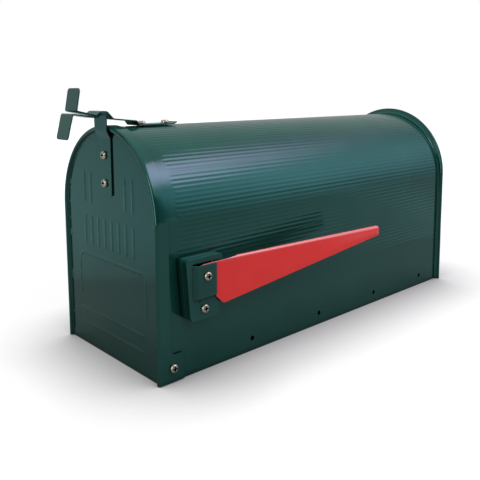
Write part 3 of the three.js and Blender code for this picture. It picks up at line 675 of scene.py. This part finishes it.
BRACKET_FOOT = 16  # half the outline's width at its foot
BRACKET_CORNER = 4
FACE_X = plate_high.x - 4.6  # the plate's face, which the housing stands on
HOUSING_Y = (31.2, 51.5)
HOUSING_Z = (74.5, 103.4)
HOUSING_RUN = 3.2  # its walls spread by this down to the plate
POCKET = 3
POCKET_Y = HOUSING_Y[0] - HOUSING_RUN + 0.9  # the pocket's front end
POCKET_Z = (73, 104.2)
STOP = (0.8, 1.9, 0.6)  # half sizes of the small stop
STOP_Y, STOP_Z = -4.5, 6.9  # and its place, from the lower screw


def bracket_outline(bm, x):
    """The bracket's outline as one face: a rounded trapezoid that narrows to its foot."""
    middle = (base_low.y + base_high.y) / 2
    top, foot = (base_high.y - base_low.y) / 2, BRACKET_FOOT
    corners = [(-foot, base_low.z), (foot, base_low.z), (top, base_high.z), (-top, base_high.z)]
    points = [bm.verts.new((x, middle + y, z)) for y, z in corners]
    bm.faces.new(points)
    round_off(bm, points, BRACKET_CORNER, 6, "VERTICES")
    return next(iter(bm.faces))


def thicken(bm, faces, x):
    """Draws faces out along x up to a plane."""
    for point in points_of(bmesh.ops.extrude_face_region(bm, geom=faces)["geom"]):
        point.co.x = x


def make_bracket_base():
    bm = bmesh.new()
    thicken(bm, [bracket_outline(bm, base_low.x)], base_high.x)
    return finish_piece(
        "bracket_base_plate", bm, green_enamel, "box", ["flag_bracket_base"], round_over=0.4
    )


def make_bracket_plate():
    """The upper layer: a plate with a sunk pocket behind the flag's root."""
    bm = bmesh.new()
    thicken(bm, [bracket_outline(bm, plate_low.x)], FACE_X - POCKET)

    def level():
        return [f for f in bm.faces if all(abs(v.co.x - FACE_X + POCKET) < NEAR for v in f.verts)]

    def between(face):
        return POCKET_Z[0] < face.calc_center_median().z < POCKET_Z[1]

    for z in POCKET_Z:
        geom = {g for f in level() for g in (f, *f.edges, *f.verts)}
        bmesh.ops.bisect_plane(bm, geom=list(geom), dist=1e-4, plane_co=(0, 0, z), plane_no=(0, 0, 1))
    geom = {g for f in level() if between(f) for g in (f, *f.edges, *f.verts)}
    bmesh.ops.bisect_plane(bm, geom=list(geom), dist=1e-4, plane_co=(0, POCKET_Y, 0), plane_no=(0, 1, 0))
    raised = [f for f in level() if not (between(f) and f.calc_center_median().y > POCKET_Y)]
    thicken(bm, raised, FACE_X)
    # a small stop for the housing, pressed up from the plate
    stop = Matrix.Translation((FACE_X, lower_screw.y + STOP_Y, lower_screw.z + STOP_Z))
    bmesh.ops.create_uvsphere(
        bm, u_segments=16, v_segments=8, radius=1, matrix=stop @ Matrix.Diagonal((*STOP, 1))
    )
    return finish_piece(
        "bracket_plate", bm, green_enamel, "box", ["flag_bracket_plate"], round_over=0.9
    )


def make_bracket_housing():
    """The raised housing over the flag's root, which is open to the rear and at the top."""
    (y0, y1), (z0, z1) = HOUSING_Y, HOUSING_Z
    bm = bmesh.new()
    roof = [bm.verts.new((plate_high.x, y, z)) for y, z in ((y0, z0), (y1, z0), (y1, z1), (y0, z1))]
    bm.faces.new(roof)

    def in_front(point):
        return point.co.y < y0 + NEAR

    def at_foot(point):
        return point.co.z < z0 + NEAR

    folds = [e for e in bm.edges if all(map(in_front, e.verts)) or all(map(at_foot, e.verts))]
    made = bmesh.ops.extrude_edge_only(bm, edges=folds)["geom"]
    for point in points_of(made):
        point.co.x = FACE_X - 0.6  # the walls end inside the plate
        if in_front(point):
            point.co.y -= HOUSING_RUN
        if at_foot(point):
            point.co.z -= HOUSING_RUN
    round_off(bm, [e for e in bm.edges if not e.is_boundary], 1.1, 4)
    return finish_piece(
        "bracket_housing", bm, green_enamel, "box", [],
        outward=((plate_high.x, 40, 90), (1, 0, 0)), wall=1.2, round_over=0.25,
    )


# ---------------------------------------------------------------------- flag
# Cut from sheet and folded: a round root on the pivot, a bend past the bracket,
# a long blade that leans out, and a rolled edge along its top and its tip. Its
# outline is drawn round the pivot.

FLAG_SHEET = 1
FLAG_X = FACE_X + WASHER + 2 * GAP + FLAG_SHEET  # the outer face of the root
FLAG_ROOT = 9.9  # reach of the round root
ROOT_TURN = math.radians(216)  # how far round the pivot the root goes
FLAG_BEND = 13  # the blade starts to lean out here, by FLAG_LEAN for each millimetre
FLAG_LEAN = 0.123
FLAG_FLANGE = 3.4  # how far the top and the tip are folded in
FLAG_ROLL = 2.8  # reach of the rolled edge's rounding
FLAG_TOP = (36, 11.4)
FLAG_TIP = (219.3, 13.9)
FLAG_HEEL = (FLAG_TIP[0], FLAG_TIP[1] - 9.5)
FLAG_CORNERS = (((11.2, -20.9), 2), ((19.6, -29.2), 1.4))  # lower corners, each with its rounding


def make_flag():
    bm = bmesh.new()
    first = bm.verts.new((0, 0, FLAG_ROOT))
    arc = bmesh.ops.spin(bm, geom=[first], cent=(0, 0, 0), axis=(1, 0, 0), angle=ROOT_TURN, steps=36)
    last = points_of(arc["geom_last"])[0]
    rest = [spot for spot, reach in FLAG_CORNERS]
    rest += [FLAG_HEEL, FLAG_TIP, FLAG_TOP, (FLAG_BEND, FLAG_ROOT + 0.1)]
    loop = [last, *(bm.verts.new((0, y, z)) for y, z in rest), first]
    for a, b in zip(loop, loop[1:]):
        bm.edges.new((a, b))
    bmesh.ops.contextual_create(bm, geom=bm.edges[:])
    for spot, reach in FLAG_CORNERS:
        round_off(bm, points_at(bm, spot), reach, 4, "VERTICES")
    bmesh.ops.bisect_plane(
        bm, geom=bm.verts[:] + bm.edges[:] + bm.faces[:], dist=1e-4,
        plane_co=(0, FLAG_BEND, 0), plane_no=(0, 1, 0),
    )
    # the top and the tip are folded in, and rounded
    runs = [points_at(bm, a) + points_at(bm, FLAG_TIP) for a in (FLAG_TOP, FLAG_HEEL)]
    folds = [e for e in bm.edges if any(all(v in run for v in e.verts) for run in runs)]
    made = bmesh.ops.extrude_edge_only(bm, edges=folds)["geom"]
    for point in points_of(made):
        point.co.x -= FLAG_FLANGE
    blade = [e for e in bm.edges if all(v.co.y > FLAG_BEND + 1 for v in e.verts)]
    round_off(bm, [e for e in blade if not e.is_boundary], FLAG_ROLL, 6)
    round_off(bm, [e for e in bm.edges if all(abs(v.co.y - FLAG_BEND) < NEAR for v in e.verts)], 1.5, 4)
    for point in bm.verts:
        point.co.x += max(point.co.y - FLAG_BEND, 0) * FLAG_LEAN
        point.co += Vector((FLAG_X, pivot_screw.y, pivot_screw.z))
    fold = [(pivot_screw.y + y, pivot_screw.z + z) for y, z in (FLAG_TOP, FLAG_TIP)]
    # a painted highlight along the flag's rolled top edge
    paint_fold_highlight(red_enamel, "#bf6462", *fold)
    return finish_piece(
        "flag_blade", bm, red_enamel, "flag", ["flag"],
        outward=((FLAG_X + 8, pivot_screw.y + 80, pivot_screw.z), (1, 0, 0)), wall=FLAG_SHEET,
    )


# ----------------------------------------------------------------- fasteners
# Each is turned on the z axis, seated at z = 0, then laid the way it faces.

RING = 48  # points round a fastener
HEAD = 2.4  # height of a screw's head
NUT = 3  # height of a nut


def turned(rings):
    """Stacks rings of points, each (reach, height), where reach may be a function of the angle."""
    bm = bmesh.new()
    ring = bmesh.ops.create_circle(bm, segments=RING, radius=1)["verts"]
    edges = bm.edges[:]
    for step, (reach, height) in enumerate(rings):
        if step:
            made = bmesh.ops.extrude_edge_only(bm, edges=edges)["geom"]
            ring = points_of(made)
            edges = [e for e in edges_of(made) if all(v in ring for v in e.verts)]
        for point in ring:
            angle = math.atan2(point.co.y, point.co.x)
            out = reach(angle) if callable(reach) else reach
            point.co = (out * math.cos(angle), out * math.sin(angle), height)
    return bm


def cross(length, width):
    """The reach of a ring in the shape of a cross, from half its length and half its width."""

    def reach(angle):
        long, short = sorted((abs(math.cos(angle)), abs(math.sin(angle))), reverse=True)
        return min(length / long, width / max(short, 1e-6))

    return reach


def hexagon(across):
    """The reach of a ring in the shape of a hexagon, from its width over the flats."""

    def reach(angle):
        return across / 2 / math.cos((angle + math.pi / 6) % (math.pi / 3) - math.pi / 6)

    return reach


FACING = {
    "left": Matrix.Rotation(-math.pi / 2, 4, "Y"),
    "right": Matrix.Rotation(math.pi / 2, 4, "Y"),
    "front": Matrix.Rotation(math.pi / 2, 4, "X"),
    "back": Matrix.Rotation(-math.pi / 2, 4, "X"),
    "up": Matrix.Identity(4),
    "down": Matrix.Rotation(math.pi, 4, "X"),
}
AXIS = {"left": (0, -1), "right": (0, 1), "front": (1, -1), "back": (1, 1), "up": (2, 1), "down": (2, -1)}


def seat(node, facing, height):
    """Where a fastener's seat is: its height back from the outer end of its CAD node."""
    low, high = bench_box(node)
    axis, sign = AXIS[facing]
    spot = (low + high) / 2
    spot[axis] = high[axis] - height if sign > 0 else low[axis] + height
    return Matrix.Translation(spot) @ FACING[facing]


def place_fastener(name, bm, node, facing, height, body):
    bmesh.ops.transform(bm, matrix=seat(node, facing, height), verts=bm.verts)
    return finish_piece(name, bm, zinc, body, [node], round_over=0)


def make_screw(node, facing, body):
    """M4 pan head with a cross recess."""
    low, high = bench_box(node)
    axis = AXIS[facing][0]
    length = high[axis] - low[axis] - HEAD
    recess = [(cross(1, 0.35), 0.5), (cross(2.3, 0.66), 2.15), (cross(2.45, 0.75), 2.36)]
    dome = [(2.75, 2.34), (3.15, 2.12), (3.55, 1.7), (3.8, 1.15), (3.9, 0.6), (3.85, 0.15), (3.7, 0)]
    shank = [(2, 0), (2, 0.4 - length), (1.6, -length)]
    bm = turned(recess + dome + shank)
    bmesh.ops.holes_fill(bm, edges=[e for e in bm.edges if e.is_boundary], sides=0)
    # the faces inside the recess take the painted recess shade
    for face in bm.faces:
        spot = face.calc_center_median()
        below_rim = 0 < spot.z < recess[-1][1] - 0.06
        if below_rim and math.hypot(spot.x, spot.y) < dome[0][0]:
            face.material_index = 1
    screw = place_fastener(f"{node}_body", bm, node, facing, HEAD, body)
    screw.data.materials.append(painted_recess_shade)
    return screw


def make_nut(node, facing, body):
    """M4 hexagon nut with its corners chamfered on the outer face."""
    side = hexagon(7)
    bore = 2.3

    def eased(angle):
        return min(side(angle), 3.55)

    rings = [(bore, 0), (side, 0), (side, NUT - 0.5), (eased, NUT)]
    rings += [(bore + 0.3, NUT), (bore, NUT - 0.3), (bore, 0)]
    return place_fastener(f"{node}_body", turned(rings), node, facing, NUT, body)


def make_washer(node, facing, body):
    bore, rim, ease_off = 2.4, 4.5, 0.1
    rings = [
        (bore, 0), (rim - ease_off, 0), (rim, ease_off), (rim, WASHER - ease_off), (rim - ease_off, WASHER),
        (bore, WASHER), (bore, 0),
    ]
    return place_fastener(f"{node}_body", turned(rings), node, facing, WASHER, body)


# ------------------------------------------------------------------ assembly

make_door()
make_cap()
make_shell()
make_strap()
catch = make_catch()
make_bracket_base()
make_bracket_plate()
make_bracket_housing()
make_flag()

for node, facing, body in (
    ("hinge_screw_left", "left", "box"),
    ("hinge_screw_right", "right", "box"),
    ("strap_screw_upper", "front", "door"),
    ("strap_screw_lower", "front", "door"),
    ("catch_screw_front", "up", "box"),
    ("catch_screw_rear", "up", "box"),
    ("flag_pivot_screw", "right", "box"),
    ("bracket_screw", "right", "box"),
):
    make_screw(node, facing, body)

for node, facing, body in (
    ("hinge_nut_left", "right", "box"),
    ("hinge_nut_right", "left", "box"),
    ("strap_nut_upper", "back", "door"),
    ("strap_nut_lower", "back", "door"),
    ("catch_nut_front", "down", "box"),
    ("catch_nut_rear", "down", "box"),
    ("flag_pivot_nut", "left", "box"),
    ("bracket_nut", "left", "box"),
):
    make_nut(node, facing, body)

for node, facing, body in (
    ("hinge_spacer_left", "left", "box"),
    ("hinge_spacer_right", "right", "box"),
    ("flag_friction_washer", "right", "box"),
    ("flag_pivot_washer", "left", "box"),
    ("bracket_washer", "left", "box"),
):
    make_washer(node, facing, body)

floor_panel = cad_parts["floor_panel"]
floor_panel.data.materials.clear()
floor_panel.data.materials.append(green_enamel)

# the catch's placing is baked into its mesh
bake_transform(catch)


# -------------------------------------------------------------------- studio

MIRRORED = 0.19  # share of the white surround that gloss shows, low because the enamel is deep
WORLD_LIGHT = 0.36
COOL_LIGHT = 0.36

scene.view_settings.view_transform = "Standard"


def seen_directly(tree):
    """1 where the camera looks, and a small share of that in gloss and clear parts."""
    path = add(tree, "ShaderNodeLightPath")
    through = add(
        tree, "ShaderNodeMath", operation="ADD",
        links={0: path.outputs["Is Glossy Ray"], 1: path.outputs["Is Transmission Ray"]},
    )
    share = add(
        tree, "ShaderNodeMath", {1: MIRRORED}, {0: through.outputs[0], 2: path.outputs["Is Camera Ray"]},
        operation="MULTIPLY_ADD",
    )
    return share.outputs[0]


def white_surround():
    surround = bpy.data.worlds.new("white_surround")
    surround.use_nodes = True
    tree = surround.node_tree
    tree.nodes.clear()
    level = add(
        tree, "ShaderNodeMapRange", {"To Min": WORLD_LIGHT, "To Max": 1}, {"Value": seen_directly(tree)}
    )
    white = add(
        tree, "ShaderNodeBackground", {"Color": (1, 1, 1, 1)}, {"Strength": level.outputs["Result"]}
    )
    add(tree, "ShaderNodeOutputWorld", links={"Surface": white.outputs["Background"]})
    return surround


def white_paper():
    """Pale matt paper. A painted shadow darkens it under the mailbox and in the corner where its foot
    stands, and it sweeps up to an evenly lit backdrop. Past the mailbox's own reach it
    glows with cooler light of its own."""
    paper, tree = new_finish("white_paper")
    place = add(tree, "ShaderNodeTexCoord").outputs["Object"]
    apart = add(tree, "ShaderNodeSeparateXYZ", links={0: place})
    # painted shadow: an ambient occlusion reading darkens the paper's tone and its glow near the mailbox
    near = add(tree, "ShaderNodeAmbientOcclusion", {"Distance": 0.09}, samples=16)
    near = add(tree, "ShaderNodeMath", {1: 1.6}, {0: near.outputs["AO"]}, operation="POWER")
    seen = seen_directly(tree)
    own = add(tree, "ShaderNodeMath", links={0: seen, 1: near.outputs[0]}, operation="MULTIPLY")
    tone = add(
        tree, "ShaderNodeMix", {"A": hex_colour("#505050"), "B": hex_colour("#6a6a6a")},
        {"Factor": own.outputs[0]}, data_type="RGBA",
    )
    matt = add(tree, "ShaderNodeBsdfDiffuse", links={"Color": tone.outputs["Result"]})
    # the backdrop is at full white from 1.2 m away
    reach = add(tree, "ShaderNodeVectorMath", links={0: place}, operation="LENGTH")
    sweep = add(
        tree, "ShaderNodeMapRange", {"From Min": 0.5, "From Max": 1.2, "To Min": 0.79, "To Max": 1},
        {"Value": reach.outputs["Value"]}, interpolation_type="SMOOTHSTEP",
    )
    lift = add(tree, "ShaderNodeMath", links={0: own.outputs[0], 1: sweep.outputs[0]}, operation="MULTIPLY")
    glow = add(tree, "ShaderNodeEmission", {"Color": (1, 1, 1, 1)}, {"Strength": lift.outputs[0]})
    # cooler light from the paper past the front left corner, stronger further out
    aslant = add(
        tree, "ShaderNodeMath", links={0: apart.outputs["X"], 1: apart.outputs["Y"]}, operation="ADD"
    )
    rise = add(
        tree, "ShaderNodeMapRange", {"From Min": -0.35, "From Max": -0.95, "To Max": 0.85},
        {"Value": aslant.outputs[0]},
    )
    past = add(tree, "ShaderNodeMath", {1: -0.6}, {0: aslant.outputs[0]}, operation="LESS_THAN")
    front = add(tree, "ShaderNodeMath", links={0: rise.outputs[0], 1: past.outputs[0]}, operation="MULTIPLY")
    # and from a band behind the mailbox
    begun = add(
        tree, "ShaderNodeMapRange", {"From Min": 0.38, "From Max": 0.5}, {"Value": apart.outputs["Y"]},
        interpolation_type="SMOOTHSTEP",
    )
    ended = add(
        tree, "ShaderNodeMapRange", {"From Min": 0.7, "From Max": 0.52, "To Min": 0.1},
        {"Value": apart.outputs["Y"]},
    )
    behind = add(
        tree, "ShaderNodeMath", links={0: begun.outputs[0], 1: ended.outputs[0]}, operation="MULTIPLY"
    )
    both = add(tree, "ShaderNodeMath", links={0: front.outputs[0], 1: behind.outputs[0]}, operation="MAXIMUM")
    level = add(tree, "ShaderNodeMath", {1: COOL_LIGHT}, {0: both.outputs[0]}, operation="MULTIPLY")
    cool = add(tree, "ShaderNodeEmission", {"Color": hex_colour("#aaf3ff")}, {"Strength": level.outputs[0]})
    paper_white = add(tree, "ShaderNodeAddShader", links={0: matt.outputs[0], 1: glow.outputs[0]})
    lit = add(tree, "ShaderNodeAddShader", links={0: paper_white.outputs[0], 1: cool.outputs[0]})
    add(tree, "ShaderNodeOutputMaterial", links={"Surface": lit.outputs[0]})
    return paper


def hump(tree, value, centre, reach):
    """1 at the centre, and evenly down to 0 at its reach to both sides."""
    off = add(tree, "ShaderNodeMath", {1: centre}, {0: value}, operation="SUBTRACT")
    off = add(tree, "ShaderNodeMath", links={0: off.outputs[0]}, operation="ABSOLUTE")
    return add(tree, "ShaderNodeMapRange", {"From Min": reach, "From Max": 0}, {"Value": off.outputs[0]})


def softbox_cloth():
    """White diffusing cloth over a lamp. It is brightest along its upper edge and at
    one side, and its light spills on the cloth that hangs under it. The grading is in
    metres from the lamp's middle."""
    finish, tree = new_finish("graded_softbox")
    place = add(tree, "ShaderNodeTexCoord").outputs["Object"]
    split = add(tree, "ShaderNodeSeparateXYZ", links={0: place})
    fall = add(
        tree, "ShaderNodeMapRange", {"From Min": -0.35, "From Max": 0.15},
        {"Value": split.outputs["Y"]}, interpolation_type="SMOOTHSTEP",
    )
    side = add(
        tree, "ShaderNodeMapRange", {"From Min": 0.6, "From Max": -0.2, "To Min": 0.3},
        {"Value": split.outputs["X"]},
    )
    side = add(tree, "ShaderNodeMath", {1: 2}, {0: side.outputs[0]}, operation="POWER")
    grade = add(tree, "ShaderNodeMath", links={0: fall.outputs[0], 1: side.outputs[0]}, operation="MULTIPLY")
    power = add(tree, "ShaderNodeMath", {1: 4.2}, {0: grade.outputs[0]}, operation="MULTIPLY")
    cloth = add(tree, "ShaderNodeEmission", {"Color": hex_colour("#ffb8e6")}, {"Strength": power.outputs[0]})
    across = hump(tree, split.outputs["X"], -0.2, 1.5)
    down = hump(tree, split.outputs["Y"], -0.55, 1.75)
    spill = add(
        tree, "ShaderNodeMath", links={0: across.outputs[0], 1: down.outputs[0]}, operation="MULTIPLY"
    )
    spill = add(tree, "ShaderNodeMath", {1: 1.55}, {0: spill.outputs[0]}, operation="MULTIPLY")
    skirt = add(tree, "ShaderNodeEmission", {"Color": hex_colour("#cceaff")}, {"Strength": spill.outputs[0]})
    both = add(tree, "ShaderNodeAddShader", links={0: cloth.outputs[0], 1: skirt.outputs[0]})
    add(tree, "ShaderNodeOutputMaterial", links={"Surface": both.outputs[0]})
    return finish


def black_velvet():
    """Cloth that gives no light back."""
    finish, tree = new_finish("black_card")
    dark = add(tree, "ShaderNodeBsdfDiffuse", {"Color": (0, 0, 0, 1)})
    add(tree, "ShaderNodeOutputMaterial", links={"Surface": dark.outputs[0]})
    return finish


def lit_slit():
    """The opal front of a strip light, evenly lit."""
    finish, tree = new_finish("strip_light")
    bright = add(tree, "ShaderNodeEmission", {"Color": (1, 1, 1, 1), "Strength": 3})
    add(tree, "ShaderNodeOutputMaterial", links={"Surface": bright.outputs[0]})
    return finish


def facing(azimuth, elevation, distance):
    """Where a light stands, azimuth degrees from +Y towards +X, turned to the mailbox."""
    a, e = math.radians(azimuth), math.radians(elevation)
    way = Vector((math.sin(a) * math.cos(e), math.cos(a) * math.cos(e), math.sin(e)))
    place = Matrix.Translation(Vector((0, 0, 0.1)) + way * distance)
    return place @ way.to_track_quat("Z", "Y").to_matrix().to_4x4()


def soft_light(name, azimuth, elevation, distance, size, radiance):
    """A square lamp for plain light, which no gloss shows."""
    lamp = bpy.data.lights.new(name, "AREA")
    lamp.size = size
    lamp.energy = radiance * math.pi * size * size
    panel = bpy.data.objects.new(name, lamp)
    panel.matrix_world = facing(azimuth, elevation, distance)
    panel.visible_glossy = False
    scene.collection.objects.link(panel)


def flat_panel(width, height, drop=0):
    bm = bmesh.new()
    bmesh.ops.create_grid(bm, x_segments=1, y_segments=1, size=0.5)
    bmesh.ops.scale(bm, vec=(width, height, 1), verts=bm.verts)
    bmesh.ops.translate(bm, vec=(0, -drop, 0), verts=bm.verts)
    return bm


def curved_card(reach, start, sweep, foot, top):
    """An upright sheet bent round the mailbox: start and sweep are azimuths in degrees."""
    bm = bmesh.new()
    a = math.radians(start)
    side = [bm.verts.new((reach * math.sin(a), reach * math.cos(a), z)) for z in (foot, top)]
    upright = bm.edges.new(side)
    bmesh.ops.spin(
        bm, geom=[upright, *upright.verts], cent=(0, 0, 0), axis=(0, 0, 1), angle=math.radians(sweep),
        steps=24,
    )
    return bm


def stand(name, bm, finish, place=Matrix.Identity(4), hidden_from=()):
    """Puts a prop in the studio."""
    mesh = bpy.data.meshes.new(name)
    bm.to_mesh(mesh)
    bm.free()
    mesh.materials.append(finish)
    prop = bpy.data.objects.new(name, mesh)
    prop.matrix_world = place
    for ray in hidden_from:
        setattr(prop, f"visible_{ray}", False)
    scene.collection.objects.link(prop)


scene.world = white_surround()

floor = bmesh.new()
bmesh.ops.create_grid(floor, x_segments=2, y_segments=2, size=4)
bmesh.ops.translate(floor, vec=(0, 0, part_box("shell")[0].z - 0.3 * MM), verts=floor.verts)
stand("studio_floor", floor, white_paper())

soft_light("overhead_softbox", azimuth=180, elevation=84, distance=2.0, size=1.6, radiance=6)
soft_light("front_fill", azimuth=115, elevation=40, distance=2.2, size=1.5, radiance=2.8)

stand("rear_softbox", flat_panel(2, 1.95, drop=0.475), softbox_cloth(), facing(38, 41.5, 1.6), ["camera"])

# a black card behind the camera keeps the surfaces that face it deep, and a narrow strip
# light in front of the card draws a bright line along every rounded edge
only_in_gloss = ["camera", "diffuse", "shadow"]
card = curved_card(0.9, start=172, sweep=100, foot=-0.022, top=0.5)
stand("black_card", card, black_velvet(), hidden_from=only_in_gloss)
stand("strip_light", flat_panel(0.22, 0.5), lit_slit(), facing(160, 10, 0.85), only_in_gloss)

camera = bpy.data.cameras.new("camera")
camera.lens = 45.875
camera.sensor_width = 36
camera.shift_x, camera.shift_y = 0.0002, -0.1458
camera.clip_start, camera.clip_end = 0.01, 50
eye = bpy.data.objects.new("camera", camera)
heading = Matrix.Rotation(math.radians(47.4712), 4, "Z")
tilt = Matrix.Rotation(math.radians(90 - 7.3203), 4, "X")
roll = Matrix.Rotation(math.radians(-0.2676), 4, "Z")
eye.matrix_world = Matrix.Translation((0.48995, -0.54153, 0.2277)) @ heading @ tilt @ roll
scene.collection.objects.link(eye)
scene.camera = eye
